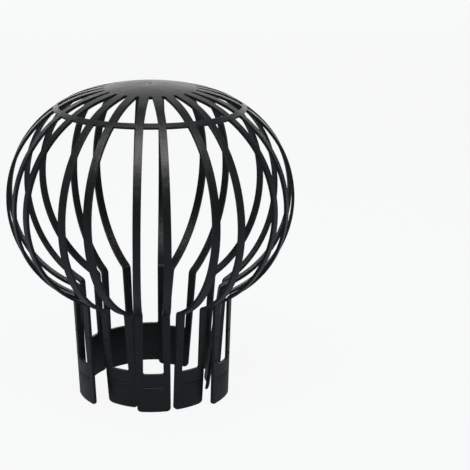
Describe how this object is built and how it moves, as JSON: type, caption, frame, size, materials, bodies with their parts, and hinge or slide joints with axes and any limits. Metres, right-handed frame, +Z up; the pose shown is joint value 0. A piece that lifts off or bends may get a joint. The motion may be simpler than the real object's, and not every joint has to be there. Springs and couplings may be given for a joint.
{
  "type": "downpipe leaf filter",
  "caption": "Black plastic balloon-shaped leaf filter cage whose ribbed neck of sprung legs plugs into the top of a downpipe or gutter outlet.",
  "frame": {"origin": "on the axis, at the level of the feet", "axes": "+Z up along the axis to the crown; the front rib pair faces -Y; +X to the right seen from the front"},
  "size_m": [0.1311, 0.1311, 0.1458],
  "materials": {
    "black_plastic": "satin, as moulded"
  },
  "bodies": {
    "root": {"leaf_filter_cage": "black_plastic"}
  },
  "joints": []
}
